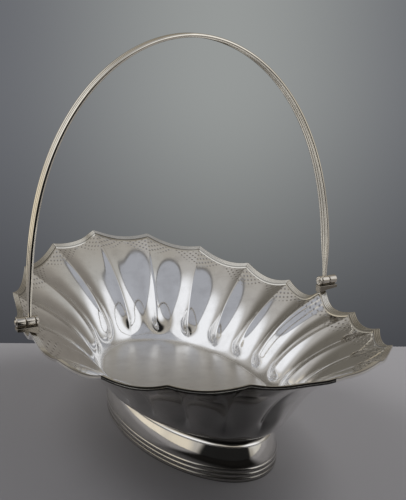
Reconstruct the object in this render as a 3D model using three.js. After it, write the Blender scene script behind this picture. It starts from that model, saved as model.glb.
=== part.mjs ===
// An oval fluted silver basket with a swing handle on an oval foot, in millimetres with +Z up.
// X runs along the oval, Y runs along the hinge axis, and the origin is the middle of the foot's underside.
// Every piece that was wrought, drawn or cast by itself is a mesh of its own, as it was before soldering.

import * as THREE from 'three';

// Sheet and solder
const sheetThickness = 0.9;
const solderGap = 0.3;

// Foot: a reeded border round its edge, a domed shell and a moulded collar under the bowl. The collar stands
// in from the floor's edge, and the foot spreads out from the collar, at the ends and at the sides.
const collarEndInset = 3;
const collarSideInset = 5.2;
const footEndSpread = 3.1;
const footSideSpread = 3.8;
const borderHeight = 9.4;
const borderThickness = 2.2;
const borderReedDepth = 0.6;
const borderReeds = 3;
const domeTopHeight = 21.9;
const domeLip = 0.9;
const ledgeWidth = 2.2;
const collarHeight = 7.2;
const collarThickness = 1.6;
const collarHollow = 0.7;
const collarReedDepth = 0.5;

// Bowl: a flat oval floor and a fluted wall that flares to a straight sloping edge under the rim wire
const floorHalfLength = 97;
const floorHalfWidth = 49.5;
const rimHalfLength = 180;
const rimHalfWidth = 113.6;
const sideCuspHeight = 79.5;
const endCuspHeight = 100.1;
const rimSweep = 2.18;
const endCuspReach = 5.4;
const hingeCuspRise = 5.1;
const cuspSpread = THREE.MathUtils.degToRad(4);
const fluteCount = 20;
const fluteEvenness = 0.109;
const fluteDepth = 4.4;
const fluteRunIn = 0.35;
const ridgeFoot = 0.12;
const ridgeHead = 0.36;
const scallopCut = 5;
const edgeSlope = THREE.MathUtils.degToRad(20);

// Rim wire: a reeded wire laid on the bowl's edge in one length for each scallop
const wireWidth = 5.6;
const wireThickness = 1.2;
const wireReedDepth = 0.5;
const wireReeds = 4;
const wireOverhang = 0.5;
const mitreGap = 0.3;

// Hinges: three tube knuckles on a plate, with a riveted pin
const hingePlateThickness = 3.2;
const hingePlateTaper = 1;
const hingePlateWidth = 6.6;
const knuckleRadius = 3.2;
const innerKnuckleLength = 2;
const handleKnuckleLength = 6;
const outerKnuckleLength = 6;
const knuckleGap = 0.3;
const knuckleChamfer = 0.6;
const pinRadius = 1.2;
const pinClearance = 0.3;
const rivetRadius = 2;
const rivetFaceRadius = 1.4;
const rivetHeight = 0.7;
const stemInset = 1.3;

// Handle: a reeded strap bent to a bail, drawn in to a slim stem at each hinge
const handleRise = 179;
const handleSideFullness = 1.94;
const handleCrownFullness = 2.43;
const strapWidth = 9;
const strapThickness = 2.8;
const strapReeds = 3;
const strapReedDepth = 0.7;
const stemWidth = 3;
const stemThickness = 2;
const stemTaper = 34;

// Facets
const stepsPerFlute = 6;
const wallRows = [0, 0.07, 0.15, 0.24, 0.34, 0.46, 0.6, 0.74, 0.88, 1];
const footSteps = 56;
const domeSteps = 5;
const strapSteps = 48;
const roundSteps = 20;
const tinyStep = 1e-4;

// Worked out from the sizes above
const pitch = 2 * Math.PI / fluteCount;
const hingeAngle = Math.PI / 2;
const collarHalfLength = floorHalfLength - collarEndInset;
const collarHalfWidth = floorHalfWidth - collarSideInset;
const footHalfLength = collarHalfLength + footEndSpread;
const footHalfWidth = collarHalfWidth + footSideSpread;
const collarBottom = domeTopHeight + solderGap;
const collarTop = collarBottom + collarHeight;
const floorTop = collarTop + solderGap + sheetThickness;
const wireCrest = solderGap + wireThickness;
const edgeRun = Math.cos(edgeSlope);
const edgeRise = Math.sin(edgeSlope);

// The wall's profile from the floor's edge to its straight edge, as shares of its run and its rise
const wallProfile = [[0, 0], [0.07, 0], [0.12, 0.5], [0.58, 0.78], [1, 1]];
const bernstein = [1, 4, 6, 4, 1];

// Shapes worked out by formula

function wallShares(s) {
  const weights = bernstein.map((b, i) => b * s ** i * (1 - s) ** (4 - i));
  const sum = (axis) => weights.reduce((total, w, i) => total + w * wallProfile[i][axis], 0);
  return { run: sum(0), rise: sum(1) };
}

// The flutes are set so that they are nearly as wide round the ends as along the sides.
function ovalAngle(t) {
  return t + fluteEvenness * Math.sin(2 * t);
}

// A smooth bump that is 1 at the two cusps that lie opposite each other at an angle.
function cuspBump(t, centre) {
  const turns = (t - centre) / Math.PI;
  const away = (turns - Math.round(turns)) * Math.PI;
  return Math.exp(-((away / cuspSpread) ** 2));
}

// Where the cusps reach, with or without the cusps that stand proud at the ends and under the hinges
function cuspPoint(t, plain) {
  const c = Math.cos(ovalAngle(t));
  const height = sideCuspHeight + (endCuspHeight - sideCuspHeight) * Math.abs(c) ** rimSweep;
  const point = new THREE.Vector3(rimHalfLength * c, rimHalfWidth * Math.sin(ovalAngle(t)), height);
  if (!plain) {
    point.x += Math.sign(c) * endCuspReach * cuspBump(t, 0);
    point.z += hingeCuspRise * cuspBump(t, hingeAngle);
  }
  return point;
}

function floorEdge(t) {
  const a = ovalAngle(t);
  return new THREE.Vector3(floorHalfLength * Math.cos(a), floorHalfWidth * Math.sin(a), floorTop);
}

// The level way out of the bowl at an angle, from the floor's edge towards the cusps
function wayOut(t) {
  return cuspPoint(t, true).sub(floorEdge(t)).setZ(0).normalize();
}

// Share of the full flute depth at a place in the flute: 0 on the ridges, 1 in the middle
function fluteShare(t) {
  const fromRidge = t / pitch - Math.round(t / pitch);
  return 1 - (1 - 2 * Math.abs(fromRidge)) ** 2;
}

// Where the wall ends and its straight edge begins, with or without the scallops
function wallEnd(t, plain) {
  const cut = plain ? 0 : scallopCut * fluteShare(t);
  const end = cuspPoint(t, plain).addScaledVector(wayOut(t), -wireWidth * edgeRun - cut);
  end.z -= wireWidth * edgeRise;
  return end;
}

function wallPoint(t, s, plain = false) {
  const { run, rise } = wallShares(s);
  const low = floorEdge(t);
  const reach = wallEnd(t, plain).sub(low);
  return low.add(new THREE.Vector3(reach.x * run, reach.y * run, reach.z * rise));
}

// The wall's normal before it is fluted, pointing out and down
function wallNormal(t, s) {
  const along = wallPoint(t + tinyStep, s, true).sub(wallPoint(t - tinyStep, s, true));
  const above = wallPoint(t, Math.min(1, s + tinyStep), true);
  const below = wallPoint(t, Math.max(0, s - tinyStep), true);
  return along.cross(above.sub(below)).normalize();
}

// A point of the wall's sheet. A lift of 0 is its inner face, and a positive lift lies outwards.
// The whole wall swells over its run-in, and each ridge rises out of the swell in a tip.
function sheetPoint(t, s, lift) {
  const swell = fluteDepth * Math.sin(Math.PI / 2 * Math.min(1, s / fluteRunIn));
  const ridge = THREE.MathUtils.smoothstep(s, ridgeFoot, ridgeHead);
  const depth = swell * (1 - ridge * (1 - fluteShare(t)));
  return wallPoint(t, s).addScaledVector(wallNormal(t, s), depth + lift);
}

// A point of the straight edge, back from the scalloped outline. A positive lift lies below its top.
function edgePoint(t, back, lift) {
  const reach = wireWidth - back;
  const point = sheetPoint(t, 1, 0).addScaledVector(wayOut(t), reach * edgeRun + lift * edgeRise);
  point.z += reach * edgeRise - lift * edgeRun;
  return point;
}

// A point on an oval that lies inside another oval by an even margin
function insideOval(halfLength, halfWidth, angle, inset, z) {
  const c = Math.cos(angle);
  const s = Math.sin(angle);
  const normal = new THREE.Vector2(c * halfWidth, s * halfLength).normalize();
  return new THREE.Vector3(halfLength * c - inset * normal.x, halfWidth * s - inset * normal.y, z);
}

// A row of reeds along a face: crests and the valleys between them, as [along, height] pairs
function reedRow(width, count, depth, base) {
  const points = [];
  for (let i = 0; i <= 2 * count; i += 1) {
    points.push([width * i / (2 * count), base - (i % 2 === 0 ? depth : 0)]);
  }
  return points;
}

// Solids from grids of points

function gridFaces(rows, columns, closeRows, closeColumns) {
  const faces = [];
  const lastRow = closeRows ? rows : rows - 1;
  const lastColumn = closeColumns ? columns : columns - 1;
  for (let r = 0; r < lastRow; r += 1) {
    for (let c = 0; c < lastColumn; c += 1) {
      const a = r * columns + c;
      const b = r * columns + (c + 1) % columns;
      const d = ((r + 1) % rows) * columns + c;
      const e = ((r + 1) % rows) * columns + (c + 1) % columns;
      faces.push(a, b, e, a, e, d);
    }
  }
  return faces;
}

// The solid of a list of points and triangles, turned so that its faces point out
function solid(points, faces) {
  let volume = 0;
  for (let i = 0; i < faces.length; i += 3) {
    const [a, b, c] = [points[faces[i]], points[faces[i + 1]], points[faces[i + 2]]];
    volume += a.dot(new THREE.Vector3().crossVectors(b, c));
  }
  const positions = points.flatMap((point) => [point.x, point.y, point.z]);
  const geometry = new THREE.BufferGeometry();
  geometry.setAttribute('position', new THREE.Float32BufferAttribute(positions, 3));
  geometry.setIndex(volume < 0 ? faces.toReversed() : faces);
  geometry.computeVertexNormals();
  return geometry;
}

// A ring of a section carried round an oval: section points are [inset, z]
function ovalRing(halfLength, halfWidth, section) {
  const points = [];
  for (const [inset, z] of section) {
    for (let i = 0; i < footSteps; i += 1) {
      const angle = 2 * Math.PI * i / footSteps;
      points.push(insideOval(halfLength, halfWidth, angle, inset, z));
    }
  }
  return solid(points, gridFaces(section.length, footSteps, true, true));
}

// A bar of a changing section: stations hold equal rings of points, and the outline closes its two ends
function bar(stations, outline) {
  const count = outline.length;
  const faces = gridFaces(stations.length, count, false, true);
  const flat = outline.map(([x, y]) => new THREE.Vector2(x, y));
  const caps = THREE.ShapeUtils.triangulateShape(flat, []);
  const turned = THREE.ShapeUtils.isClockWise(flat);
  const last = (stations.length - 1) * count;
  for (const [a, b, c] of caps) {
    const [p, q] = turned ? [c, b] : [b, c];
    faces.push(a, q, p);
    faces.push(last + a, last + p, last + q);
  }
  return solid(stations.flat(), faces);
}

// Pieces

function bowlGeometry() {
  const columns = fluteCount * stepsPerFlute;
  const points = [];
  const addRow = (place) => {
    for (let i = 0; i < columns; i += 1) {
      points.push(place(pitch * i / stepsPerFlute));
    }
  };
  wallRows.forEach((s) => addRow((t) => sheetPoint(t, s, 0)));
  addRow((t) => edgePoint(t, wireOverhang, 0));
  addRow((t) => edgePoint(t, wireOverhang, sheetThickness));
  wallRows.toReversed().forEach((s) => addRow((t) => sheetPoint(t, s, sheetThickness)));
  const rows = 2 * wallRows.length + 2;
  const faces = gridFaces(rows, columns, false, true);
  const floorMiddle = points.push(new THREE.Vector3(0, 0, floorTop)) - 1;
  const underMiddle = points.push(new THREE.Vector3(0, 0, floorTop - sheetThickness)) - 1;
  const lastRow = (rows - 1) * columns;
  for (let i = 0; i < columns; i += 1) {
    const next = (i + 1) % columns;
    faces.push(floorMiddle, next, i);
    faces.push(underMiddle, lastRow + i, lastRow + next);
  }
  return solid(points, faces);
}

// One length of the rim wire, mitred on the ridges at its two ends
function rimWireGeometry(index) {
  const outline = [[0, 0], ...reedRow(wireWidth, wireReeds, wireReedDepth, wireThickness), [wireWidth, 0]];
  const cusps = cuspPoint(pitch * index).distanceTo(cuspPoint(pitch * (index + 1)));
  const margin = mitreGap / 2 / cusps;
  const stations = [];
  for (let i = 0; i <= stepsPerFlute; i += 1) {
    const u = THREE.MathUtils.clamp(i / stepsPerFlute, margin, 1 - margin);
    const t = pitch * (index + u);
    const ring = outline.map(([back, height]) => edgePoint(t, back, -solderGap - height));
    stations.push(ring);
  }
  return bar(stations, outline);
}

function borderGeometry() {
  const reeds = reedRow(borderHeight, borderReeds, borderReedDepth, 0).map(([z, out]) => [-out, z]);
  const section = [[borderThickness, 0], ...reeds, [borderThickness, borderHeight]];
  return ovalRing(footHalfLength, footHalfWidth, section);
}

// One row of points round the foot's shell: a share of 0 is its upright wall and 1 is the lip of its top
function domeRow(share, z, depth) {
  const points = [];
  for (let i = 0; i < footSteps; i += 1) {
    const angle = 2 * Math.PI * i / footSteps;
    const wall = insideOval(footHalfLength, footHalfWidth, angle, borderThickness + solderGap + depth, z);
    const lip = insideOval(collarHalfLength, collarHalfWidth, angle, depth - domeLip, z);
    points.push(wall.lerp(lip, share));
  }
  return points;
}

function ledgeRow(z) {
  const angles = Array.from({ length: footSteps }, (_, i) => 2 * Math.PI * i / footSteps);
  return angles.map((angle) => insideOval(collarHalfLength, collarHalfWidth, angle, ledgeWidth, z));
}

// The domed shell rises upright behind the border, curves over and ends in a ledge that carries the collar.
function domeGeometry() {
  const profile = [[0, 0]];
  for (let i = 0; i <= domeSteps; i += 1) {
    const angle = Math.PI / 2 * i / domeSteps;
    profile.push([1 - Math.cos(angle), borderHeight + (domeTopHeight - borderHeight) * Math.sin(angle)]);
  }
  const inside = profile.toReversed().map(([share, z]) => [share, Math.max(0, z - sheetThickness)]);
  const rows = [
    ...profile.map(([share, z]) => domeRow(share, z, 0)),
    ledgeRow(domeTopHeight),
    ledgeRow(domeTopHeight - sheetThickness),
    ...inside.map(([share, z]) => domeRow(share, z, sheetThickness)),
  ];
  return solid(rows.flat(), gridFaces(rows.length, footSteps, true, true));
}

// The collar: a reed at its foot, a hollow, and two reeds under the bowl, placed by shares of its height
function collarGeometry() {
  const reed = collarReedDepth;
  const shape = [
    [reed, 0], [0, 0.09], [reed, 0.18],
    [reed + collarHollow, 0.42],
    [reed, 0.66], [0, 0.74], [reed, 0.82], [0, 0.91], [reed, 1],
  ];
  const outer = shape.map(([inset, share]) => [inset, collarBottom + share * collarHeight]);
  const back = collarThickness + collarHollow;
  const section = [[back, collarBottom], ...outer, [back, collarTop]];
  return ovalRing(collarHalfLength, collarHalfWidth, section);
}

// Heights of the hinge, which stands on the rim wire at a cusp, and places of its knuckles along Y
const hingeCusp = edgePoint(hingeAngle, 0, -wireCrest);
const plateBottom = hingeCusp.z + solderGap;
const plateTop = plateBottom + hingePlateThickness;
const hingeHeight = plateTop + solderGap + knuckleRadius;
const handleHalfSpan = rimHalfWidth - stemInset;
const innerKnuckleEnd = handleHalfSpan - handleKnuckleLength / 2 - knuckleGap;
const innerKnuckleStart = innerKnuckleEnd - innerKnuckleLength;
const outerKnuckleStart = handleHalfSpan + handleKnuckleLength / 2 + knuckleGap;
const outerKnuckleEnd = outerKnuckleStart + outerKnuckleLength;
const plateHeel = plateBottom - (hingeCusp.y - innerKnuckleStart) * Math.tan(edgeSlope);

// The plate's foot slopes as the wire under it does. Outside the cusp the plate thins towards its end.
function hingePlateGeometry(side) {
  const profile = new THREE.Shape([
    new THREE.Vector2(innerKnuckleStart, plateHeel),
    new THREE.Vector2(hingeCusp.y, plateBottom),
    new THREE.Vector2(outerKnuckleEnd, plateBottom + hingePlateTaper),
    new THREE.Vector2(outerKnuckleEnd, plateTop),
    new THREE.Vector2(innerKnuckleStart, plateTop),
  ]);
  const geometry = new THREE.ExtrudeGeometry(profile, { depth: hingePlateWidth, bevelEnabled: false });
  geometry.translate(0, 0, -hingePlateWidth / 2);
  geometry.rotateX(Math.PI / 2);
  geometry.rotateZ(side * Math.PI / 2);
  return geometry;
}

// A length of tube along Y with chamfered outer corners
function knuckleGeometry(length) {
  const bore = pinRadius + pinClearance;
  const half = length / 2;
  const cut = knuckleRadius - knuckleChamfer;
  return new THREE.LatheGeometry([
    new THREE.Vector2(bore, -half),
    new THREE.Vector2(cut, -half),
    new THREE.Vector2(knuckleRadius, -half + knuckleChamfer),
    new THREE.Vector2(knuckleRadius, half - knuckleChamfer),
    new THREE.Vector2(cut, half),
    new THREE.Vector2(bore, half),
    new THREE.Vector2(bore, -half),
  ], roundSteps);
}

// The pin runs through the three knuckles and is riveted over at both ends.
function pinGeometry() {
  const half = (outerKnuckleEnd - innerKnuckleStart) / 2 + solderGap;
  return new THREE.LatheGeometry([
    new THREE.Vector2(0, -half - rivetHeight),
    new THREE.Vector2(rivetFaceRadius, -half - rivetHeight),
    new THREE.Vector2(rivetRadius, -half),
    new THREE.Vector2(pinRadius, -half),
    new THREE.Vector2(pinRadius, half),
    new THREE.Vector2(rivetRadius, half),
    new THREE.Vector2(rivetFaceRadius, half + rivetHeight),
    new THREE.Vector2(0, half + rivetHeight),
  ], roundSteps);
}

// The bail's middle line at an angle from the crown, as its place along Y and its height over the hinge axis
function bailLine(angle) {
  const s = Math.sin(angle);
  const c = Math.cos(angle);
  return new THREE.Vector2(
    Math.sign(s) * handleHalfSpan * Math.abs(s) ** (2 / handleSideFullness),
    handleRise * Math.max(0, c) ** (2 / handleCrownFullness),
  );
}

function bailGeometry() {
  const stemFoot = knuckleRadius + solderGap;
  const last = Math.acos((stemFoot / handleRise) ** (handleCrownFullness / 2));
  const reeds = reedRow(1, strapReeds, strapReedDepth / strapThickness, 0.5).map(([x, y]) => [0.5 - x, y]);
  const outline = [[-0.5, -0.5], [0.5, -0.5], ...reeds];
  const stations = [];
  for (let i = 0; i <= strapSteps; i += 1) {
    const angle = last * (2 * i / strapSteps - 1);
    const at = bailLine(angle);
    const next = bailLine(Math.min(last, angle + tinyStep));
    const ahead = next.sub(bailLine(Math.max(-last, angle - tinyStep))).normalize();
    const share = THREE.MathUtils.smoothstep(at.y, 0, stemTaper);
    const width = THREE.MathUtils.lerp(stemWidth, strapWidth, share);
    const thickness = THREE.MathUtils.lerp(stemThickness, strapThickness, share);
    stations.push(outline.map(([across, out]) => new THREE.Vector3(
      across * width,
      at.x - ahead.y * out * thickness,
      hingeHeight + at.y + ahead.x * out * thickness,
    )));
  }
  return bar(stations, outline);
}

// The assembly

const silver = () => new THREE.MeshStandardMaterial({ color: 0xd8d6d0, metalness: 1, roughness: 0.12 });
const basket = new THREE.Group();
const handle = new THREE.Group();

function addMesh(group, name, geometry, y = 0, z = 0) {
  const mesh = new THREE.Mesh(geometry, silver());
  mesh.name = name;
  mesh.position.set(0, y, z);
  group.add(mesh);
}

addMesh(basket, 'bowl', bowlGeometry());
for (let i = 0; i < fluteCount; i += 1) {
  addMesh(basket, `rim_wire_${String(i + 1).padStart(2, '0')}`, rimWireGeometry(i));
}
addMesh(basket, 'foot_collar', collarGeometry());
addMesh(basket, 'foot_dome', domeGeometry());
addMesh(basket, 'foot_reeded_border', borderGeometry());
addMesh(handle, 'bail_handle', bailGeometry());

for (const [sideName, side] of [['left', -1], ['right', 1]]) {
  const middle = (from, to) => side * (from + to) / 2;
  const inner = middle(innerKnuckleStart, innerKnuckleEnd);
  const outer = middle(outerKnuckleStart, outerKnuckleEnd);
  const pin = middle(innerKnuckleStart, outerKnuckleEnd);
  const stem = side * handleHalfSpan;
  addMesh(basket, `hinge_plate_${sideName}`, hingePlateGeometry(side));
  addMesh(basket, `inner_knuckle_${sideName}`, knuckleGeometry(innerKnuckleLength), inner, hingeHeight);
  addMesh(basket, `outer_knuckle_${sideName}`, knuckleGeometry(outerKnuckleLength), outer, hingeHeight);
  addMesh(basket, `hinge_pin_${sideName}`, pinGeometry(), pin, hingeHeight);
  addMesh(handle, `handle_knuckle_${sideName}`, knuckleGeometry(handleKnuckleLength), stem, hingeHeight);
}

const group = new THREE.Group();
group.add(basket, handle);

export default group;
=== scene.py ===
"""The finished look of an oval fluted silver basket with a swing handle on an oval foot.

The basket stands on a plain tabletop in soft studio light. X runs along its oval, Y along the axis of its hinges and
Z up from the foot's underside. Shapes are worked out in millimetres and become metres where a mesh is made.
"""

import math

import bpy
import numpy as np
from mathutils import Matrix, Vector


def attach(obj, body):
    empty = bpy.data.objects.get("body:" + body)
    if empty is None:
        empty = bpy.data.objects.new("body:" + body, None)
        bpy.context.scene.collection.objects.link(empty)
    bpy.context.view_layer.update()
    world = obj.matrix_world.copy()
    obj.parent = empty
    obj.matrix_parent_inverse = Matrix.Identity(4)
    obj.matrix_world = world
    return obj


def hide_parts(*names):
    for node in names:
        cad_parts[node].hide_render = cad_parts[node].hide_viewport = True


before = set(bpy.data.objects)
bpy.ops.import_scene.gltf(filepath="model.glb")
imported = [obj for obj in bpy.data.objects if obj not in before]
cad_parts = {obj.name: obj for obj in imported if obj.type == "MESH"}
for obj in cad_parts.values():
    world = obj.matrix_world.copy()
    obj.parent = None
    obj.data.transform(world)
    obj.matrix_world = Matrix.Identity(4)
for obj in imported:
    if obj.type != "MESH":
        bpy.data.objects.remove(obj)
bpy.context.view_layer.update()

MM = 0.001

# A step that is small enough to take a slope from
NUDGE = 1e-4

# Sheet
SHEET_THICKNESS = 0.9
SOLDER = 0.3

# Bowl: a flat oval floor and a fluted wall that flares to a straight sloping edge under the rim wire. The sheet's
# outer face ends EDGE_BEVEL of its thickness behind the inner one, and scuffs from the floor run SCUFF_REACH of the
# way up the wall.
FLOOR_HALF_LENGTH = 97
FLOOR_HALF_WIDTH = 49.5
FLOOR_TOP = 30.6
RIM_HALF_LENGTH = 180
RIM_HALF_WIDTH = 113.6
SIDE_CUSP_HEIGHT = 79.5
END_CUSP_HEIGHT = 100.1
RIM_SWEEP = 2.18
END_CUSP_REACH = 5.4
HINGE_CUSP_RISE = 5.1
CUSP_SPREAD = math.radians(4)
FLUTES = 20
FLUTE_EVENNESS = 0.109
FLUTE_DEPTH = 4.4
FLUTE_RUN_IN = 0.35
FLUTE_SOFTNESS = 0.15
RIDGE_FOOT = 0.12
RIDGE_HEAD = 0.36
RIDGE_CRISP = 0.6
RIDGE_ROUND_LOW = 0.07
RIDGE_ROUND_HIGH = 0.012
SCALLOP_CUT = 5
EDGE_SLOPE = math.radians(20)
EDGE_BEVEL = 0.6
SCUFF_REACH = 0.22

# Pricked fans below the rim wire: their dots stand on a lattice of squares, with one more dot in each square's middle.
# A fan is FAN_DEPTH deep on its ridge and ends FAN_REACH beside it. The rest of the bowl counts as FAR_FROM_RIM.
DOT_SQUARE = 5.2
DOT_RADIUS = 0.85
DOT_DEPTH = 0.1
FAN_DEPTH = 20
FAN_REACH = 26
FAR_FROM_RIM = 50.0

# Foot: a reeded border round its edge, a shell that leans in partly straight and partly in a curve, and a moulded
# collar under the bowl. The collar's parts run from its foot up: each one's share of its height, and how far it swells
# out or hollows in.
COLLAR_HALF_LENGTH = FLOOR_HALF_LENGTH - 3
COLLAR_HALF_WIDTH = FLOOR_HALF_WIDTH - 5.2
COLLAR_HEIGHT = 7.2
COLLAR_THICKNESS = 2.3
COLLAR_REED = 0.5
COLLAR_HOLLOW = 0.9
COLLAR_PARTS = [(0.12, COLLAR_REED), (0.66, -COLLAR_HOLLOW), (0.1, COLLAR_REED), (0.12, COLLAR_REED)]
FOOT_HALF_LENGTH = COLLAR_HALF_LENGTH + 3.1
FOOT_HALF_WIDTH = COLLAR_HALF_WIDTH + 3.8
BORDER_HEIGHT = 9.4
BORDER_THICKNESS = 2.2
BORDER_REEDS = 3
BORDER_REED = 0.45
# How much painted shade the border's valleys get at its foot, by the table, fading to none at its top
BORDER_LOW_SHADE = 0.4
DOME_TOP = 21.9
DOME_SETBACK = 0.5
DOME_STRAIGHT = 0.6
DOME_CURVED = 0.4
LEDGE_WIDTH = 2.2

# Rim wire: a reeded wire laid on the bowl's straight edge in one length for each scallop
WIRE_WIDTH = 5.6
WIRE_CREST = 1.5
WIRE_REED = 0.25
WIRE_REEDS = 4
WIRE_OVERHANG = 0.5
WIRE_UNDERCUT = 0.6
WIRE_FILLET = 1.3
# How much painted shade, partly tarnish, the end of the solder fillet gets
FILLET_SHADE = 0.5
MITRE_GAP = 0.12

# Hinges: three tube knuckles on a plate, with a riveted pin
HINGE_HEIGHT = 93.01
PLATE_WIDTH = 6.6
PLATE_ROUND = 0.4
KNUCKLE_RADIUS = 3.2
INNER_KNUCKLE = 2
HANDLE_KNUCKLE = 6
OUTER_KNUCKLE = 6
KNUCKLE_GAP = 0.3
KNUCKLE_ROUND = 0.6
PIN_RADIUS = 1.2
RIVET_RADIUS = 2
RIVET_HEIGHT = 1.0
STEM_INSET = 1.3

# Handle: a reeded strap bent to a bail, drawn in to a slim stem at each hinge
HANDLE_RISE = 179
SIDE_FULLNESS = 1.94
CROWN_FULLNESS = 2.43
STRAP_WIDTH = 9
STRAP_THICKNESS = 2.8
STRAP_REEDS = 3
STRAP_REED = 0.42
STEM_WIDTH = 3
STEM_THICKNESS = 2
STEM_TAPER = 34

# How finely the pieces are drawn. The bowl's columns crowd towards the ridges and its rows towards the floor, and a
# rim wire's stations crowd towards its mitres.
BOWL_COLUMNS = 26
RIDGE_CROWDING = 0.8
INNER_ROWS = 92
OUTER_ROWS = 56
ROW_CROWDING = 1.15
FLOOR_RINGS = np.array([0.3, 0.6, 0.85, 0.97])
WIRE_STATIONS = 33
MITRE_CROWDING = 0.6
REED_STEPS = 8
COLLAR_STEPS = 12
OVAL_COLUMNS = 192
DOME_ROWS = 28
STRAP_STATIONS = 257
STRAP_REED_STEPS = 12
KNUCKLE_COLUMNS = 56
KNUCKLE_ROUND_STEPS = 7
PIN_COLUMNS = 32
RIVET_STEPS = 8

# Worked out from the sizes above
PITCH = 2 * math.pi / FLUTES
HANDLE_HALF_SPAN = RIM_HALF_WIDTH - STEM_INSET

# The points that pull the wall's profile, from the floor's edge to the straight edge, as shares of its run and rise
WALL_PROFILE = np.array([[0, 0], [0.07, 0], [0.12, 0.5], [0.58, 0.78], [1, 1]])
BINOMIALS = np.array([1, 4, 6, 4, 1])


def smooth_step(x):
    """Runs from 0 to 1 as x does, with no slope at either end."""
    x = np.clip(x, 0, 1)
    return x * x * (3 - 2 * x)


def crowd(step, share):
    """Even steps from 0 to 1 drawn towards both ends: each loses a share of one turn of a sine wave."""
    return step - share * np.sin(2 * math.pi * step) / (2 * math.pi)


def wall_shares(s):
    """The shares of the wall's run and rise at s: a curve of the fourth degree.

    It is the sum of WALL_PROFILE's points, each times its binomial, a power of s and the other power of 1 - s.
    """
    s = np.asarray(s, float)[..., None]
    powers = np.arange(5)
    weights = BINOMIALS * s**powers * (1 - s) ** (4 - powers)
    shares = weights @ WALL_PROFILE
    return shares[..., 0], shares[..., 1]


def oval_angle(t):
    """The oval's own angle at the flutes' angle t: t plus a share of sin 2t, which evens the flutes out."""
    return t + FLUTE_EVENNESS * np.sin(2 * t)


def cusp_bump(t, centre):
    """A bell curve round an angle and the angle opposite it: exp of minus the square of the angle away."""
    turns = (t - centre) / math.pi
    away = (turns - np.round(turns)) * math.pi
    return np.exp(-((away / CUSP_SPREAD) ** 2))


def cusp_point(t, plain=False):
    """Where the cusps reach: an oval whose height grows with a power of the cosine towards its two ends."""
    c, s = np.cos(oval_angle(t)), np.sin(oval_angle(t))
    height = SIDE_CUSP_HEIGHT + (END_CUSP_HEIGHT - SIDE_CUSP_HEIGHT) * np.abs(c) ** RIM_SWEEP
    x, y = RIM_HALF_LENGTH * c, RIM_HALF_WIDTH * s
    if not plain:
        x = x + np.sign(c) * END_CUSP_REACH * cusp_bump(t, 0)
        height = height + HINGE_CUSP_RISE * cusp_bump(t, math.pi / 2)
    return np.stack([x, y, height], -1)


def floor_edge(t):
    """The floor's oval edge."""
    angle = oval_angle(t)
    x, y = FLOOR_HALF_LENGTH * np.cos(angle), FLOOR_HALF_WIDTH * np.sin(angle)
    return np.stack([x, y, np.full_like(angle, FLOOR_TOP)], -1)


def way_out(t):
    """The level unit vector from the floor's edge towards the rim."""
    way = (cusp_point(t, True) - floor_edge(t)) * [1, 1, 0]
    return way / np.linalg.norm(way, axis=-1, keepdims=True)


def wall_end(t, plain=False):
    """Where the wall meets its straight edge: the wire's width and the scallop's cut back from the cusps' reach."""
    cut = np.zeros_like(t) if plain else SCALLOP_CUT * flute_share(t)
    end = cusp_point(t, plain) - way_out(t) * (WIRE_WIDTH * math.cos(EDGE_SLOPE) + cut)[..., None]
    end[..., 2] -= WIRE_WIDTH * math.sin(EDGE_SLOPE)
    return end


def wall_point(t, s, plain=False):
    """The wall before it is fluted: from the floor's oval edge to the wall's end by the profile's shares."""
    low = floor_edge(t)
    run, rise = wall_shares(s)
    return low + (wall_end(t, plain) - low) * np.stack([run, run, rise], -1)


def wall_normal(t, s):
    """The plain wall's unit normal, out and down: the cross product of its steps along t and up s."""
    along = wall_point(t + NUDGE, s, True) - wall_point(t - NUDGE, s, True)
    up = wall_point(t, np.minimum(1, s + NUDGE), True) - wall_point(t, np.maximum(0, s - NUDGE), True)
    normal = np.cross(along, up)
    return normal / np.linalg.norm(normal, axis=-1, keepdims=True)


def from_ridge(t):
    """The signed distance from the nearest ridge, in flutes: -0.5 to 0.5."""
    return t / PITCH - np.round(t / PITCH)


def flute_share(t, rounding=0.0):
    """A parabola over each flute, 0 on its ridges and 1 in its middle. The rounding dulls the ridges' edges."""
    away = np.sqrt(from_ridge(t) ** 2 + rounding**2) - rounding
    away = away * 0.5 / (np.sqrt(0.25 + rounding**2) - rounding)
    return 1 - (1 - 2 * away) ** 2


def sheet_point(t, s, lift):
    """A point of the bowl's sheet, where a lift of 0 is its inner face and a positive lift lies outwards.

    The wall swells by the flute's depth, which runs in softly from the floor. On a ridge it swells only below the
    ridge's foot, so each ridge ends in a rounded tip there.
    """
    t, s = np.broadcast_arrays(np.asarray(t, float), np.asarray(s, float))
    run_in = np.clip(s / FLUTE_RUN_IN, 0, 1)
    run_in = run_in**2 * (1 + FLUTE_SOFTNESS) / (run_in + FLUTE_SOFTNESS)
    swell = FLUTE_DEPTH * np.sin(math.pi / 2 * run_in)
    ridge = smooth_step((s - RIDGE_FOOT) / (RIDGE_HEAD - RIDGE_FOOT))
    rounding = RIDGE_ROUND_HIGH + (RIDGE_ROUND_LOW - RIDGE_ROUND_HIGH) * (1 - smooth_step(s / RIDGE_CRISP))
    depth = swell * (1 - ridge * (1 - flute_share(t, rounding)))
    return wall_point(t, s) + wall_normal(t, s) * (depth + lift)[..., None]


def edge_point(t, back, lift):
    """A point of the sloping edge at a distance back from the scalloped outline. A positive lift lies below its top."""
    t, back, lift = np.broadcast_arrays(t, back, lift)
    c, s = math.cos(EDGE_SLOPE), math.sin(EDGE_SLOPE)
    reach = WIRE_WIDTH - back
    point = sheet_point(t, 1, 0) + way_out(t) * (reach * c + lift * s)[..., None]
    point[..., 2] += reach * s - lift * c
    return point


def inside_oval(half_length, half_width, angle, inset, z):
    """An oval's point moved in by an even margin along the oval's normal."""
    c, s = np.cos(angle), np.sin(angle)
    normal = np.stack([c * half_width, s * half_length], -1)
    normal = normal / np.linalg.norm(normal, axis=-1, keepdims=True)
    x, y = half_length * c - inset * normal[..., 0], half_width * s - inset * normal[..., 1]
    return np.stack(np.broadcast_arrays(x, y, z), -1)


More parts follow.
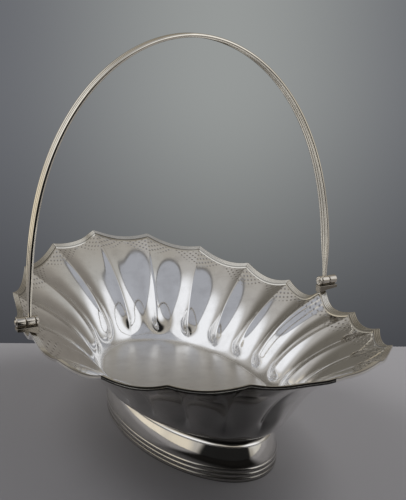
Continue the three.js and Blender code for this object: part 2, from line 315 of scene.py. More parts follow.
# Meshes from grids of points


def grid_faces(rows, columns, close_rows=False, close_columns=False):
    """The four corners of each face between neighbouring rows and columns of a grid of points."""
    row = np.arange(rows if close_rows else rows - 1)[:, None]
    column = np.arange(columns if close_columns else columns - 1)[None, :]
    row, column = np.broadcast_arrays(row, column)
    next_row, next_column = (row + 1) % rows, (column + 1) % columns
    corners = [
        row * columns + column,
        row * columns + next_column,
        next_row * columns + next_column,
        next_row * columns + column,
    ]
    return np.stack(corners, -1).reshape(-1, 4)


def fan_faces(centre, ring, columns):
    """Triangles from one point to a ring of points that starts at the index ring."""
    first = ring + np.arange(columns)
    following = ring + (np.arange(columns) + 1) % columns
    return np.stack([np.full(columns, centre), first, following], -1)


def signed_volume(points, faces):
    """Six times the volume that the faces enclose: each face is cut into triangles from its first corner."""
    total = 0.0
    for corners in faces:
        a = points[corners[:, 0]]
        for k in range(1, corners.shape[1] - 1):
            b, c = points[corners[:, k]], points[corners[:, k + 1]]
            total += np.einsum("ij,ij->i", a, np.cross(b, c)).sum()
    return total


def make_mesh(name, points, faces, crease=40, marks=None):
    """A closed mesh from points in millimetres and lists of equal faces, turned so that its faces point out."""
    if signed_volume(points, faces) < 0:
        faces = [corners[:, ::-1] for corners in faces]
    mesh = bpy.data.meshes.new(name)
    mesh.vertices.add(len(points))
    mesh.vertices.foreach_set("co", (points * MM).astype(np.float32).ravel())
    sizes = np.concatenate([np.full(len(corners), corners.shape[1]) for corners in faces])
    mesh.loops.add(int(sizes.sum()))
    mesh.loops.foreach_set("vertex_index", np.concatenate([corners.ravel() for corners in faces]).astype(np.int32))
    mesh.polygons.add(len(sizes))
    mesh.polygons.foreach_set("loop_start", np.concatenate([[0], np.cumsum(sizes)[:-1]]).astype(np.int32))
    mesh.update(calc_edges=True)
    mesh.validate()
    mesh.polygons.foreach_set("use_smooth", np.ones(len(mesh.polygons), bool))
    mesh.set_sharp_from_angle(angle=math.radians(crease))
    for mark, values in (marks or {}).items():
        kind, field = ("FLOAT", "value") if values.ndim == 1 else ("FLOAT_VECTOR", "vector")
        layer = mesh.attributes.new(mark, kind, "POINT")
        layer.data.foreach_set(field, values.astype(np.float32).ravel())
    return mesh


def new_object(name, data):
    """An object in the scene that shows a mesh, a lamp or a camera."""
    made = bpy.data.objects.new(name, data)
    bpy.context.scene.collection.objects.link(made)
    return made


def place(mesh, material, body, nodes):
    """Makes a mesh a piece of the basket: its finish, the body that it rides on and the solids it stands for."""
    piece = new_object(mesh.name, mesh)
    mesh.materials.append(material)
    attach(piece, body)
    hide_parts(*nodes)
    return piece


# Section outlines


def reed_heights(count, depth, steps):
    """A row of reeds as [share of the width, height]: parabolas side by side, 0 in the valleys."""
    share = np.linspace(0, 1, count * steps + 1)
    inside = 2 * (share * count - np.floor(np.minimum(share * count, count - 1e-9))) - 1
    return np.stack([share, depth * (1 - inside**2)], -1)


def moulding(parts, steps=REED_STEPS):
    """A moulding's outline from its foot up, as [height, how far it stands out].

    Each part is a height, a projection and the level that it starts from: a positive projection is a parabola
    outwards and a negative one is a parabola inwards.
    """
    outline, base = [], 0.0
    for height, projection, level in parts:
        share = np.linspace(0, 1, steps + 1)
        outline.append(np.stack([base + height * share, level + projection * 4 * share * (1 - share)], -1))
        base += height
    return np.concatenate(outline)


def oval_ring(name, half_length, half_width, section, recess):
    """A closed section of [inset, height] points carried round an oval, and how deep each of them lies in a recess."""
    angle = np.linspace(0, 2 * math.pi, OVAL_COLUMNS, endpoint=False)
    inset, height = section[:, 0, None], section[:, 1, None]
    points = inside_oval(half_length, half_width, angle[None, :], inset, height)
    faces = [grid_faces(len(section), OVAL_COLUMNS, True, True)]
    return make_mesh(name, points.reshape(-1, 3), faces, marks={"recess": np.repeat(recess, OVAL_COLUMNS)})


# Pieces


def bowl_mesh():
    """The bowl's sheet: its inner face from the middle of the floor out and up, and its outer face back again."""
    eased = crowd(np.linspace(0, 1, BOWL_COLUMNS, endpoint=False), RIDGE_CROWDING)
    t = (np.arange(FLUTES)[:, None] + eased[None, :]).ravel() * PITCH
    columns = len(t)

    def face(rows, lift):
        """One face of the sheet: the floor's rings, the wall, and the sloping edge, which a lift draws back."""
        share = np.linspace(0, 1, rows)[:, None] ** ROW_CROWDING
        wall = sheet_point(t[None, :], share, lift)
        middle = np.array([0, 0, wall[0, 0, 2]])
        floor = middle + (wall[0] - middle) * FLOOR_RINGS[:, None, None]
        edge = edge_point(t, WIRE_OVERHANG + EDGE_BEVEL * lift, lift)
        return np.concatenate([floor, wall, edge[None]])

    inner = face(INNER_ROWS, 0.0)
    grid = np.concatenate([inner, face(OUTER_ROWS, SHEET_THICKNESS)[::-1]])
    points = np.concatenate([grid.reshape(-1, 3), [[0, 0, FLOOR_TOP], [0, 0, FLOOR_TOP - SHEET_THICKNESS]]])
    over, under = len(points) - 2, len(points) - 1
    faces = [
        grid_faces(len(grid), columns, close_columns=True),
        np.concatenate([fan_faces(over, 0, columns)[:, ::-1], fan_faces(under, (len(grid) - 1) * columns, columns)]),
    ]

    wall = inner[len(FLOOR_RINGS) : -1]
    steps = np.linalg.norm(np.diff(wall, axis=0), axis=-1)
    down = np.concatenate([np.cumsum(steps[::-1], axis=0)[::-1], np.zeros((1, columns))])
    scallop_width = np.linalg.norm(wall_end(t + PITCH / 2) - wall_end(t - PITCH / 2), axis=-1)
    across = np.broadcast_to(from_ridge(t) * scallop_width, down.shape)
    below_rim = np.full((len(points), 3), FAR_FROM_RIM)
    first = len(FLOOR_RINGS) * columns
    fan = FAN_DEPTH * (1 - np.abs(across) / FAN_REACH) - down
    below_rim[first : first + down.size] = np.stack([across, down, fan], -1).reshape(-1, 3)
    below_rim[first + down.size :, 2] = -FAR_FROM_RIM
    below_rim[:first, 2] = -FAR_FROM_RIM
    scuffed = np.zeros(len(points))
    scuffed[:first] = scuffed[-2] = 1
    low = 1 - smooth_step(np.linspace(0, 1, INNER_ROWS) ** ROW_CROWDING / SCUFF_REACH)
    scuffed[first : first + down.size] = np.repeat(low, columns)
    return make_mesh("fluted_bowl", points, faces, marks={"below_rim": below_rim, "scuffed": scuffed})


def rim_wire_mesh(index):
    """One length of reeded wire along a scallop, between two mitres.

    Its section stands on the sloping edge. The outer side is cut under, so it faces level and a little down, and the
    inner side slopes down to the bowl in a fillet of solder.
    """
    reeds = reed_heights(WIRE_REEDS, WIRE_REED, REED_STEPS)
    crown = reeds * [WIRE_WIDTH - WIRE_FILLET, 1] + [0, WIRE_CREST - WIRE_REED]
    section = np.concatenate([[[WIRE_UNDERCUT, 0]], crown, [[WIRE_WIDTH, 0]]])
    ends = cusp_point(PITCH * np.array([index, index + 1.0]))
    margin = MITRE_GAP / 2 / np.linalg.norm(ends[1] - ends[0])
    eased = np.clip(crowd(np.linspace(0, 1, WIRE_STATIONS), MITRE_CROWDING), margin, 1 - margin)
    points = edge_point((PITCH * (index + eased))[:, None], section[:, 0], -section[:, 1])
    stations, corners = points.shape[:2]
    caps = np.stack([np.arange(corners)[::-1], (stations - 1) * corners + np.arange(corners)])
    faces = [grid_faces(stations, corners, False, True), caps]
    # The valleys between the reeds get painted shade, partly tarnish, and the fillet's end a little of it
    valley = np.concatenate([[0], 1 - reeds[:, 1] / WIRE_REED, [FILLET_SHADE]])
    marks = {"recess": np.tile(valley, stations)}
    return make_mesh(f"reeded_rim_{index + 1:02d}", points.reshape(-1, 3), faces, marks=marks)


def border_mesh():
    """The foot's border: rounded reeds on the outside, with painted shade in the valleys, more of it lower down towards
    the table, round the foot's oval.
    """
    reeds = moulding([(BORDER_HEIGHT / BORDER_REEDS, BORDER_REED, -BORDER_REED)] * BORDER_REEDS)
    outer = np.stack([-reeds[:, 1], reeds[:, 0]], -1)
    back = BORDER_THICKNESS + SOLDER
    section = np.concatenate([[[back, 0]], outer, [[back, BORDER_HEIGHT]]])
    low_shade = BORDER_LOW_SHADE * (1 - reeds[:, 0] / BORDER_HEIGHT)
    recess = np.concatenate([[0], np.clip(low_shade - reeds[:, 1] / BORDER_REED, 0, 1), [0]])
    return oval_ring("foot_border", FOOT_HALF_LENGTH, FOOT_HALF_WIDTH, section, recess)


def collar_mesh():
    """The collar: a fine reed at its foot, a hollow neck and two fine reeds under the bowl, round its oval."""
    height = COLLAR_HEIGHT + 2 * SOLDER
    outline = moulding([(share * height, swell, -COLLAR_REED) for share, swell in COLLAR_PARTS], COLLAR_STEPS)
    outer = np.stack([-outline[:, 1], DOME_TOP + outline[:, 0]], -1)
    section = np.concatenate([[[COLLAR_THICKNESS, DOME_TOP]], outer, [[COLLAR_THICKNESS, DOME_TOP + height]]])
    # The hollow neck takes painted shade, partly tarnish, deepest where it hollows most
    recess = np.clip(-outline[:, 1] / (COLLAR_REED + COLLAR_HOLLOW), 0, 1) ** 2
    recess = np.concatenate([[0], recess, [0]])
    return oval_ring("foot_collar_moulding", COLLAR_HALF_LENGTH, COLLAR_HALF_WIDTH, section, recess)


def dome_mesh():
    """The foot's shell: it leans in from the border more and more up to a ledge, and has an inside.

    The lean is partly an even slope and partly a parabola of the height.
    """
    angle = np.linspace(0, 2 * math.pi, OVAL_COLUMNS, endpoint=False)[None, :]
    rise = np.linspace(0, 1, DOME_ROWS)
    share = np.concatenate([[0, 0, 0], DOME_STRAIGHT * rise + DOME_CURVED * rise**2])
    height = np.concatenate([[0], np.full(2, BORDER_HEIGHT), BORDER_HEIGHT + (DOME_TOP - BORDER_HEIGHT) * rise])
    back = np.full(len(share), DOME_SETBACK)
    back[:2] = BORDER_THICKNESS + SOLDER

    def shell(depth, lower):
        """The outside moved in and down: each row goes its share of the way from the foot's oval to the collar's."""
        z = np.maximum(0, height - lower)[:, None]
        inset = (np.maximum(back, BORDER_THICKNESS + SOLDER) if depth else back)[:, None] + depth
        wall = inside_oval(FOOT_HALF_LENGTH, FOOT_HALF_WIDTH, angle, inset, z)
        lip = inside_oval(COLLAR_HALF_LENGTH, COLLAR_HALF_WIDTH, angle, COLLAR_REED + depth, z)
        return wall + (lip - wall) * share[:, None, None]

    def ledge(z):
        """The ledge's inner edge: the collar's oval moved in by the ledge's width."""
        return inside_oval(COLLAR_HALF_LENGTH, COLLAR_HALF_WIDTH, angle, LEDGE_WIDTH, np.array([[z]]))

    outside, inside = shell(0, 0), shell(SHEET_THICKNESS, SHEET_THICKNESS)
    grid = np.concatenate([outside, ledge(DOME_TOP), ledge(DOME_TOP - SHEET_THICKNESS), inside[::-1]])
    return make_mesh("foot_domed_shell", grid.reshape(-1, 3), [grid_faces(len(grid), OVAL_COLUMNS, True, True)])


def bail_line(angle):
    """The bail's middle line: a superellipse, as the place along Y and the height over the hinge axis."""
    s, c = np.sin(angle), np.clip(np.cos(angle), 0, 1)
    along = np.sign(s) * HANDLE_HALF_SPAN * np.abs(s) ** (2 / SIDE_FULLNESS)
    return np.stack([along, HANDLE_RISE * c ** (2 / CROWN_FULLNESS)], -1)


def bail_mesh():
    """The bail: three reeds side by side, parabolas with round outer edges, carried along the bail's line."""
    last = math.acos((KNUCKLE_RADIUS / HANDLE_RISE) ** (CROWN_FULLNESS / 2))
    angle = last * np.linspace(-1, 1, STRAP_STATIONS)
    at = bail_line(angle)
    ahead = bail_line(np.minimum(last, angle + NUDGE)) - bail_line(np.maximum(-last, angle - NUDGE))
    ahead = ahead / np.linalg.norm(ahead, axis=-1, keepdims=True)
    share = smooth_step(at[:, 1] / STEM_TAPER)
    width = STEM_WIDTH + (STRAP_WIDTH - STEM_WIDTH) * share
    thickness = STEM_THICKNESS + (STRAP_THICKNESS - STEM_THICKNESS) * share

    turn = np.linspace(-1, 1, STRAP_REED_STEPS, endpoint=False)
    local = np.sin(math.pi / 2 * np.tile(turn, STRAP_REEDS))
    aside = (np.repeat(np.arange(STRAP_REEDS), len(turn)) + (local + 1) / 2) / STRAP_REEDS - 0.5
    inner = np.abs(aside) < 0.5 - 0.5 / STRAP_REEDS
    half = np.where(inner, 0.5 - STRAP_REED / STRAP_THICKNESS * local**2, 0.5 * np.sqrt(1 - local**2))
    over, under = np.stack([aside, half], -1), np.stack([-aside, -half], -1)
    outline = np.concatenate([over, under])
    # The valleys between the reeds take painted shade, partly tarnish, through recess
    recess = np.tile(np.where(inner, local**2, 0), 2)

    across, out = outline[None, :, 0] * width[:, None], outline[None, :, 1] * thickness[:, None]
    y = at[:, None, 0] - ahead[:, None, 1] * out
    z = HINGE_HEIGHT + at[:, None, 1] + ahead[:, None, 0] * out
    points = np.stack([across, y, z], -1)
    stations, corners = points.shape[:2]
    ends = np.stack([np.arange(corners)[::-1], (stations - 1) * corners + np.arange(corners)])
    faces = [grid_faces(stations, corners, False, True), ends]
    return make_mesh("reeded_bail", points.reshape(-1, 3), faces, marks={"recess": np.tile(recess, stations)})


def turned_mesh(name, profile, middle, columns):
    """A turned piece on the hinge axis: a profile of [radius, place along Y] that starts and ends on the axis."""
    angle = np.linspace(0, 2 * math.pi, columns, endpoint=False)
    radius, along = profile[1:-1, 0, None], profile[1:-1, 1, None]
    x, z = radius * np.cos(angle), HINGE_HEIGHT + radius * np.sin(angle)
    x, y, z = np.broadcast_arrays(x, middle + along, z)
    rings = np.stack([x, y, z], -1)
    tips = [[0, middle + profile[0, 1], HINGE_HEIGHT], [0, middle + profile[-1, 1], HINGE_HEIGHT]]
    points = np.concatenate([rings.reshape(-1, 3), tips])
    first, last = len(points) - 2, len(points) - 1
    count = len(rings)
    ends = np.concatenate([fan_faces(first, 0, columns)[:, ::-1], fan_faces(last, (count - 1) * columns, columns)])
    return make_mesh(name, points, [grid_faces(count, columns, close_columns=True), ends])


def knuckle_mesh(name, length, middle):
    """A barrel with quarter-round edges, from one flat end to the other."""
    turn = np.linspace(0, math.pi / 2, KNUCKLE_ROUND_STEPS)
    edge = np.stack([KNUCKLE_RADIUS - KNUCKLE_ROUND * (1 - np.sin(turn)), KNUCKLE_ROUND * (1 - np.cos(turn))], -1)
    half = length / 2
    profile = np.concatenate([[[0, -half]], edge + [0, -half], edge[::-1] * [1, -1] + [0, half], [[0, half]]])
    return turned_mesh(name, profile, middle, KNUCKLE_COLUMNS)


def pin_mesh(name, start, end):
    """The pin with its two riveted heads, each a low dome: a quarter ellipse turned about the hinge axis."""
    turn = np.linspace(0, math.pi / 2, RIVET_STEPS)
    dome = np.stack([RIVET_RADIUS * np.sin(turn), -RIVET_HEIGHT * np.cos(turn)], -1)
    half = (end - start) / 2
    shank = np.array([[PIN_RADIUS, -half], [PIN_RADIUS, half]])
    profile = np.concatenate([dome + [0, -half], shank, (dome * [1, -1] + [0, half])[::-1]])
    return turned_mesh(name, profile, (start + end) / 2, PIN_COLUMNS)


def plate_mesh(name, node):
    """The hinge plate: the solid's own corners, merged and put in order by their angle round the middle.

    Its edges are rounded afterwards.
    """
    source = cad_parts[node].data
    corners = np.empty(len(source.vertices) * 3, np.float32)
    source.vertices.foreach_get("co", corners)
    corners = np.unique(np.round(corners.reshape(-1, 3) / MM, 3), axis=0)
    side = corners[corners[:, 0] < 0][:, 1:]
    middle = side.mean(0)
    side = side[np.argsort(np.arctan2(*(side - middle).T))]
    count = len(side)
    half = PLATE_WIDTH / 2
    points = np.concatenate([np.insert(side, 0, -half, 1), np.insert(side, 0, half, 1)])
    ends = np.stack([np.arange(count)[::-1], count + np.arange(count)])
    return make_mesh(name, points, [grid_faces(2, count, close_columns=True), ends], crease=30)


# Materials


def paint(code):
    """An sRGB hex colour as a linear colour."""
    channels = np.array([int(code[i : i + 2], 16) for i in (1, 3, 5)]) / 255
    linear = np.where(channels <= 0.04045, channels / 12.92, ((channels + 0.055) / 1.055) ** 2.4)
    return (*linear.tolist(), 1.0)


def add(tree, kind, inputs=(), **settings):
    """Adds a node. Its settings are its own properties. An input is a value, a socket or a node's first output."""
    made = tree.nodes.new(kind)
    for key, value in settings.items():
        setattr(made, key, value)
    for key, value in dict(inputs).items():
        if isinstance(value, bpy.types.Node):
            value = value.outputs[0]
        if isinstance(value, bpy.types.NodeSocket):
            tree.links.new(value, made.inputs[key])
        else:
            made.inputs[key].default_value = value
    return made


def per_metre(millimetres):
    """A texture's scale for a pattern that repeats about once in that many millimetres."""
    return 1 / (millimetres * MM)


def engraving(tree):
    """1 in the pricked dots, 0 elsewhere.

    The attribute below_rim holds the distance across from the ridge, the distance down from the wire and how far
    inside the fan a point lies. A dot is where the distance to the nearest point of the lattice is small.
    """
    spot = add(tree, "ShaderNodeAttribute", attribute_name="below_rim").outputs["Vector"]
    parts = add(tree, "ShaderNodeSeparateXYZ", {0: spot})
    flat = add(tree, "ShaderNodeVectorMath", {0: spot, 1: (1 / DOT_SQUARE, 1 / DOT_SQUARE, 0)}, operation="MULTIPLY")
    nearest = []
    for shift in (0.0, 0.5):
        moved = add(tree, "ShaderNodeVectorMath", {0: flat, 1: (shift, shift, 0.5)}, operation="ADD")
        cell = add(tree, "ShaderNodeVectorMath", {0: moved}, operation="FRACTION")
        centred = add(tree, "ShaderNodeVectorMath", {0: cell, 1: (0.5, 0.5, 0.5)}, operation="SUBTRACT")
        nearest.append(add(tree, "ShaderNodeVectorMath", {0: centred}, operation="LENGTH").outputs["Value"])
    away = add(tree, "ShaderNodeMath", {0: nearest[0], 1: nearest[1]}, operation="MINIMUM")
    radius = DOT_RADIUS / DOT_SQUARE
    dot = add(
        tree,
        "ShaderNodeMapRange",
        {"Value": away, "From Min": 0.4 * radius, "From Max": 1.4 * radius, "To Min": 1.0, "To Max": 0.0},
        interpolation_type="SMOOTHSTEP",
    )
    in_fan = add(tree, "ShaderNodeMapRange", {"Value": parts.outputs[2], "From Min": 0.0, "From Max": 3.0})
    return add(tree, "ShaderNodeMath", {0: dot, 1: in_fan}, operation="MULTIPLY")


# What all the silver shares: the size of the hammer's waves and of the cloth's smudges in millimetres, how much tarnish
# covers a smudge and a pricked dot, and how much rougher smudges, tarnish and the floor's scuffs are. The cloth's
# hairlines are too fine to show one by one, so they are drawn as smudges.
HAMMER_WAVE = 26
CLOTH_SMUDGE = 14
SMUDGE_TARNISH = 0.16
DOT_TARNISH = 0.6
SMUDGE_ROUGHNESS = 0.04
TARNISH_ROUGHNESS = 0.2
SCUFF_ROUGHNESS = 0.24


def silver(name, colour, tarnish, roughness, wave, recess=0.0, engraved=False):
    """Sterling silver, raised or drawn, polished by hand and dulled a little by years of cleaning.

    The eye sees nearly a mirror. Slow waves left by the hammer bend its reflections, the cloth's hairlines soften
    them unevenly, and a warm grey tarnish lies in smudges and in the pricked dots. The same tarnish colour is painted
    into the valleys that a piece's recess marks, as painted shade that is partly tarnish. Each is a noise, or an
    attribute of the piece, brought to its own range. The tarnish and painted shade is the largest of its causes, and
    the roughness is their sum.
    """
    material = bpy.data.materials.new(name)
    material.use_nodes = True
    tree = material.node_tree
    tree.nodes.clear()
    place_on = add(tree, "ShaderNodeTexCoord").outputs["Object"]
    waves = add(tree, "ShaderNodeTexNoise", {"Vector": place_on, "Scale": per_metre(HAMMER_WAVE), "Detail": 0.0})
    smudges = add(
        tree,
        "ShaderNodeTexNoise",
        {"Vector": place_on, "Scale": per_metre(CLOTH_SMUDGE), "Detail": 3.0, "Roughness": 0.6},
    )
    tarnish_and_painted_shade = add(
        tree,
        "ShaderNodeMapRange",
        {"Value": smudges, "From Min": 0.45, "From Max": 0.8, "To Min": 0.0, "To Max": SMUDGE_TARNISH},
    )
    height = add(tree, "ShaderNodeMath", {0: waves, 1: wave}, operation="MULTIPLY")
    # Painted shade, partly tarnish: the valleys that the recess attribute marks take the tarnish colour
    if recess:
        hollow = add(tree, "ShaderNodeAttribute", attribute_name="recess").outputs["Fac"]
        deep = add(
            tree,
            "ShaderNodeMapRange",
            {"Value": hollow, "From Min": 0.45, "From Max": 0.95, "To Min": 0.0, "To Max": recess},
            interpolation_type="SMOOTHSTEP",
        )
        tarnish_and_painted_shade = add(tree, "ShaderNodeMath", {0: tarnish_and_painted_shade, 1: deep}, operation="MAXIMUM")
    if engraved:
        cut = engraving(tree)
        stained = add(tree, "ShaderNodeMath", {0: cut, 1: DOT_TARNISH}, operation="MULTIPLY")
        tarnish_and_painted_shade = add(tree, "ShaderNodeMath", {0: tarnish_and_painted_shade, 1: stained}, operation="MAXIMUM")
        height = add(tree, "ShaderNodeMath", {0: cut, 1: -DOT_DEPTH, 2: height}, operation="MULTIPLY_ADD")
    tone = add(tree, "ShaderNodeMix", {"Factor": tarnish_and_painted_shade, 6: paint(colour), 7: paint(tarnish)}, data_type="RGBA")
    roughest = roughness + SMUDGE_ROUGHNESS
    worn = add(
        tree,
        "ShaderNodeMapRange",
        {"Value": smudges, "From Min": 0.35, "From Max": 0.75, "To Min": roughness, "To Max": roughest},
    )
    dull = add(tree, "ShaderNodeMath", {0: tarnish_and_painted_shade, 1: TARNISH_ROUGHNESS, 2: worn}, operation="MULTIPLY_ADD")
    if engraved:
        scuffed = add(tree, "ShaderNodeAttribute", attribute_name="scuffed").outputs["Fac"]
        dull = add(tree, "ShaderNodeMath", {0: scuffed, 1: SCUFF_ROUGHNESS, 2: dull}, operation="MULTIPLY_ADD")
    relief = add(tree, "ShaderNodeBump", {"Strength": 1.0, "Distance": MM, "Height": height})
    shader = add(
        tree,
        "ShaderNodeBsdfPrincipled",
        {"Base Color": tone.outputs[2], "Metallic": 1.0, "Roughness": dull, "Normal": relief},
    )
    add(tree, "ShaderNodeOutputMaterial", {"Surface": shader})
    return material


# The bowl was raised from sheet with a hammer and planished: the slowest and strongest waves, and pricked dots.
bowl_silver = silver("sterling_raised_polished", "#F1F0EE", "#62564A", 0.07, wave=0.06, engraved=True)
# The rim's wire was drawn through a die: straight reeds, polished on their crests, with painted shade, partly tarnish,
# in the valleys between them.
wire_silver = silver("sterling_drawn_reeded", "#F0ECE2", "#3A352D", 0.09, wave=0.01, recess=0.75)
# The handle's strap is rolled with three reeds: its colour is brighter than the other silver's, which is painted
# highlight, and a warm line of painted shade, partly tarnish, lies between the reeds.
bail_silver = silver("sterling_strap_rolled", "#FAF3E4", "#3D3629", 0.07, wave=0.01, recess=0.85)
# The foot was raised and its mouldings rolled: cleaner than the bowl, with painted shade, partly tarnish, in the
# valleys between its reeds.
foot_silver = silver("sterling_foot_rolled", "#F1EEE8", "#3A3630", 0.05, wave=0.03, recess=0.8)
# The hinges were turned from tube and soldered: rubbed dull by the handle's swing, and their darker grey is partly wear
# and partly painted shade.
hinge_silver = silver("sterling_hinge_worn_painted_shade", "#D2CBBF", "#4E473D", 0.14, wave=0.02)
# The plates under them: a darker grey, which is painted shade under the barrels.
plate_silver_painted_shade = silver("sterling_plate_painted_shade", "#8F887C", "#3A342C", 0.18, wave=0.02)

# The basket

place(bowl_mesh(), bowl_silver, "basket", ["bowl"])
for i in range(FLUTES):
    place(rim_wire_mesh(i), wire_silver, "basket", [f"rim_wire_{i + 1:02d}"])
place(border_mesh(), foot_silver, "basket", ["foot_reeded_border"])
place(dome_mesh(), foot_silver, "basket", ["foot_dome"])
place(collar_mesh(), foot_silver, "basket", ["foot_collar"])
place(bail_mesh(), bail_silver, "handle", ["bail_handle"])

inner_end = HANDLE_HALF_SPAN - HANDLE_KNUCKLE / 2 - KNUCKLE_GAP
inner_start = inner_end - INNER_KNUCKLE
outer_start = HANDLE_HALF_SPAN + HANDLE_KNUCKLE / 2 + KNUCKLE_GAP
outer_end = outer_start + OUTER_KNUCKLE
for side, way in (("left", -1), ("right", 1)):
    inner_middle = way * (inner_start + inner_end) / 2
    outer_middle = way * (outer_start + outer_end) / 2
    pin_ends = sorted([way * inner_start, way * outer_end])
    parts = [
        (knuckle_mesh(f"inner_barrel_{side}", INNER_KNUCKLE, inner_middle), "basket", "inner_knuckle"),
        (knuckle_mesh(f"outer_barrel_{side}", OUTER_KNUCKLE, outer_middle), "basket", "outer_knuckle"),
        (pin_mesh(f"riveted_pin_{side}", *pin_ends), "basket", "hinge_pin"),
        (knuckle_mesh(f"handle_barrel_{side}", HANDLE_KNUCKLE, way * HANDLE_HALF_SPAN), "handle", "handle_knuckle"),
    ]
    for mesh, body, node in parts:
        place(mesh, hinge_silver, body, [f"{node}_{side}"])
    plate = plate_mesh(f"soldered_plate_{side}", f"hinge_plate_{side}")
    plate = place(plate, plate_silver_painted_shade, "basket", [f"hinge_plate_{side}"])
    edge = plate.modifiers.new("rounded_edges", "BEVEL")
    edge.width, edge.segments, edge.limit_method = PLATE_ROUND * MM, 3, "ANGLE"

# The camera, the tabletop and the room's light

CAMERA_PLACE = Vector((611.7, -292.58, 305.53)) * MM
CAMERA_AZIMUTH = math.radians(63.54)
CAMERA_ELEVATION = math.radians(14.66)
CAMERA_ROLL = math.radians(0.51)
CAMERA_LENS = 73.86

back = Vector(
    (
        math.sin(CAMERA_AZIMUTH) * math.cos(CAMERA_ELEVATION),
        -math.cos(CAMERA_AZIMUTH) * math.cos(CAMERA_ELEVATION),
        math.sin(CAMERA_ELEVATION),
    )
)
level = Vector((math.cos(CAMERA_AZIMUTH), math.sin(CAMERA_AZIMUTH), 0))
upright = back.cross(level)
right = math.cos(CAMERA_ROLL) * level + math.sin(CAMERA_ROLL) * upright
up = -math.sin(CAMERA_ROLL) * level + math.cos(CAMERA_ROLL) * upright
camera = new_object("camera", bpy.data.cameras.new("camera"))
camera.data.lens = CAMERA_LENS
camera.data.clip_start, camera.data.clip_end = 0.01, 50
camera.matrix_world = Matrix.Translation(CAMERA_PLACE) @ Matrix((right, up, back)).transposed().to_4x4()
bpy.context.scene.camera = camera


def direction(azimuth, elevation):
    """The unit vector towards a compass angle counter-clockwise from +X and a height above the horizon."""
    a, e = math.radians(azimuth), math.radians(elevation)
    return Vector((math.cos(a) * math.cos(e), math.sin(a) * math.cos(e), math.sin(e)))


# The tabletop: its painted grey, and the painted shade on its front as the silver mirrors it, round the bearing FRONT.
# Its edges are metres from the basket's middle: behind it, in front of it and to each side.
CARD_GREY = "#A2A0A2"
CARD_PAINTED_SHADE = "#1C1B1A"
FRONT = -32
FAR_EDGE = 0.164
NEAR_EDGE = 1.5
SIDE_EDGE = 1.6


def tabletop_card():
    """Matt painted card, whose mirror image in the silver has painted shade in a wedge towards the front.

    The wedge is a range of the dot product with the way to the front, times a range of the distance from the basket.
    """
    material = bpy.data.materials.new("tabletop_card")
    material.use_nodes = True
    tree = material.node_tree
    shader = tree.nodes["Principled BSDF"]
    shader.inputs["Roughness"].default_value = 0.7
    shader.inputs["Specular IOR Level"].default_value = 0.0
    place_on = add(tree, "ShaderNodeTexCoord").outputs["Object"]
    bearing = add(tree, "ShaderNodeVectorMath", {0: place_on}, operation="NORMALIZE")
    ahead = add(tree, "ShaderNodeVectorMath", {0: bearing, 1: direction(FRONT, 0)}, operation="DOT_PRODUCT")
    wedge = add(
        tree,
        "ShaderNodeMapRange",
        {"Value": ahead.outputs["Value"], "From Min": 0.5, "From Max": 0.72},
        interpolation_type="SMOOTHSTEP",
    )
    away = add(tree, "ShaderNodeVectorMath", {0: place_on}, operation="LENGTH").outputs["Value"]
    far = add(
        tree, "ShaderNodeMapRange", {"Value": away, "From Min": 0.04, "From Max": 0.17}, interpolation_type="SMOOTHSTEP"
    )
    mirrored = add(tree, "ShaderNodeLightPath").outputs["Is Glossy Ray"]
    darker = add(tree, "ShaderNodeMath", {0: wedge, 1: far}, operation="MULTIPLY")
    darker = add(tree, "ShaderNodeMath", {0: darker, 1: mirrored}, operation="MULTIPLY")
    tone = add(tree, "ShaderNodeMix", {"Factor": darker, 6: paint(CARD_GREY), 7: paint(CARD_PAINTED_SHADE)}, data_type="RGBA")
    tree.links.new(tone.outputs[2], shader.inputs["Base Color"])
    return material


def tabletop():
    """A flat top with its long edge square to the view, which ends behind the basket."""
    ahead = Vector((-math.sin(CAMERA_AZIMUTH), math.cos(CAMERA_AZIMUTH), 0))
    far, near, aside = ahead * FAR_EDGE, ahead * NEAR_EDGE, level * SIDE_EDGE
    corners = [far - aside, far + aside, aside - near, -aside - near]
    mesh = bpy.data.meshes.new("tabletop")
    mesh.from_pydata([tuple(c) for c in corners], [], [(3, 2, 1, 0)])
    table = new_object("tabletop", mesh)
    mesh.materials.append(tabletop_card())


tabletop()


def softbox(name, azimuth, elevation, distance, size, radiance):
    """A square lamp that faces the basket, of a given brightness over its whole face. The silver doesn't mirror it."""
    lamp = bpy.data.lights.new(name, "AREA")
    lamp.shape, lamp.size = "SQUARE", size
    lamp.energy = radiance * math.pi * size**2
    box = new_object(name, lamp)
    towards = direction(azimuth, elevation)
    box.location = towards * distance
    box.rotation_euler = towards.to_track_quat("Z", "Y").to_euler()
    box.visible_camera = box.visible_glossy = False


softbox("left_softbox", -145, 48, 1.3, 0.7, 3.5)
softbox("right_softbox", 88, 50, 1.3, 0.7, 5.2)

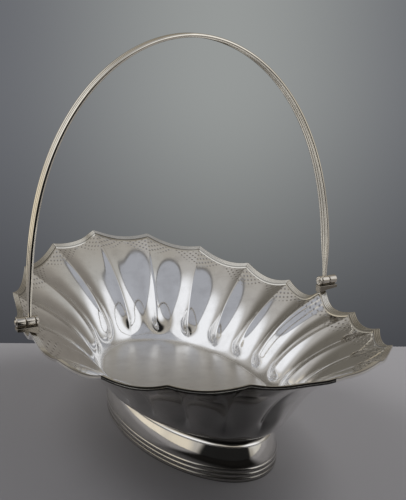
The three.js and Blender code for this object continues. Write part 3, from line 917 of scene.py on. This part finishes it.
# The room as the silver mirrors it: a tone, a darker one below the horizon, and soft patches that lie over each other
# in this order. Each has its azimuth and elevation, its inner and outer half angle, how much it covers and its colour.
ROOM = "#A39E96"
BELOW_HORIZON = "#7C7A75"
PATCHES = [
    # The floor, pale on the left and dark behind the basket
    (-130, -14, 10, 26, 1.0, "#EAE3D4"),
    (172, -30, 12, 40, 1.0, "#45423C"),
    # The walls: a pale one on the right, a glow round each light and two dim corners behind
    (62, 0, 16, 34, 1.0, "#D6D3CC"),
    (-115, 40, 20, 62, 1.0, "#B6B4B2"),
    (55, 45, 20, 56, 1.0, "#B2B1AE"),
    (120, 17, 10, 38, 1.0, "#7F7A74"),
    (172, 17, 12, 36, 1.0, "#6A665F"),
    # The left light, the pale strip below it and the right light
    (-108, 42, 18, 36, 1.0, "#F8FAFF"),
    (-154, 3, 5, 16, 1.0, "#DCD4C5"),
    (-130, 3, 5, 16, 1.0, "#E6DECF"),
    (-106, 3, 5, 16, 1.0, "#DCD4C5"),
    (42, 42, 18, 40, 1.0, "#F8FAFF"),
    # The unlit front
    (-32, 2, 26, 36, 1.0, "#1C1C1C"),
    (-58, -4, 24, 32, 1.0, "#1C1C1C"),
    (-6, -4, 24, 32, 1.0, "#1C1C1C"),
    # The ceiling above the table: its dark edge first, then its face
    (-30, 77, 32, 33.5, 0.7, "#38383A"),
    (-30, 77, 30, 31.5, 0.75, "#B4B7C0"),
]

# How much of the room's light falls on matt surfaces
DIFFUSE_SHARE = 0.4

# The backdrop that the camera sees: its sides, a painted pool of light in its middle, a little to the right, and
# painted shade at its foot
BACKDROP_SIDES = "#686A6F"
BACKDROP_LIGHT_POOL = "#969998"
BACKDROP_FOOT_SHADE = "#3A3B40"
MIDDLE_ASIDE = 0.02


def room():
    """The room as soft light, darker below the horizon, with a backdrop of painted light and shade that only the camera
    sees.

    A patch is a range of the cosine of the angle from its middle. The backdrop's brightness is painted: a pool of
    light that falls off with the distance across the view from its middle, and painted shade that deepens with the
    depth below the horizon.
    """
    world = bpy.data.worlds.new("room")
    world.use_nodes = True
    tree = world.node_tree
    tree.nodes.clear()
    facing = add(tree, "ShaderNodeTexCoord").outputs["Generated"]
    height = add(tree, "ShaderNodeSeparateXYZ", {0: facing}).outputs[2]
    above = add(tree, "ShaderNodeMapRange", {"Value": height, "From Min": -0.12, "From Max": 0.06})
    tone = add(tree, "ShaderNodeMix", {"Factor": above, 6: paint(BELOW_HORIZON), 7: paint(ROOM)}, data_type="RGBA")
    for azimuth, elevation, inner, outer, cover, code in PATCHES:
        near = add(tree, "ShaderNodeVectorMath", {0: facing, 1: direction(azimuth, elevation)}, operation="DOT_PRODUCT")
        share = add(
            tree,
            "ShaderNodeMapRange",
            {
                "Value": near.outputs["Value"],
                "From Min": math.cos(math.radians(outer)),
                "From Max": math.cos(math.radians(inner)),
                "To Max": cover,
            },
            interpolation_type="SMOOTHSTEP",
        )
        tone = add(tree, "ShaderNodeMix", {"Factor": share, 6: tone.outputs[2], 7: paint(code)}, data_type="RGBA")

    aside = add(tree, "ShaderNodeVectorMath", {0: facing, 1: level}, operation="DOT_PRODUCT").outputs["Value"]
    off = add(tree, "ShaderNodeMath", {0: aside, 1: MIDDLE_ASIDE}, operation="SUBTRACT")
    off = add(tree, "ShaderNodeMath", {0: off}, operation="ABSOLUTE")
    middle = add(
        tree,
        "ShaderNodeMapRange",
        {"Value": off, "From Min": 0.0, "From Max": 0.24, "To Min": 1.0, "To Max": 0.0},
        interpolation_type="SMOOTHSTEP",
    )
    rise = add(
        tree,
        "ShaderNodeMapRange",
        {"Value": height, "From Min": -0.42, "From Max": -0.08},
        interpolation_type="SMOOTHSTEP",
    )
    sides, light_pool, foot = paint(BACKDROP_SIDES), paint(BACKDROP_LIGHT_POOL), paint(BACKDROP_FOOT_SHADE)
    wall = add(tree, "ShaderNodeMix", {"Factor": middle, 6: sides, 7: light_pool}, data_type="RGBA")
    wall = add(tree, "ShaderNodeMix", {"Factor": rise, 6: foot, 7: wall.outputs[2]}, data_type="RGBA")
    seen = add(tree, "ShaderNodeLightPath").outputs["Is Camera Ray"]
    shown = add(tree, "ShaderNodeMix", {"Factor": seen, 6: tone.outputs[2], 7: wall.outputs[2]}, data_type="RGBA")
    diffuse = add(tree, "ShaderNodeLightPath").outputs["Is Diffuse Ray"]
    strength = add(tree, "ShaderNodeMath", {0: diffuse, 1: DIFFUSE_SHARE - 1, 2: 1.0}, operation="MULTIPLY_ADD")
    shine = add(tree, "ShaderNodeBackground", {"Color": shown.outputs[2], "Strength": strength})
    add(tree, "ShaderNodeOutputWorld", {"Surface": shine})
    bpy.context.scene.world = world


room()

bpy.context.scene.view_settings.view_transform = "Standard"
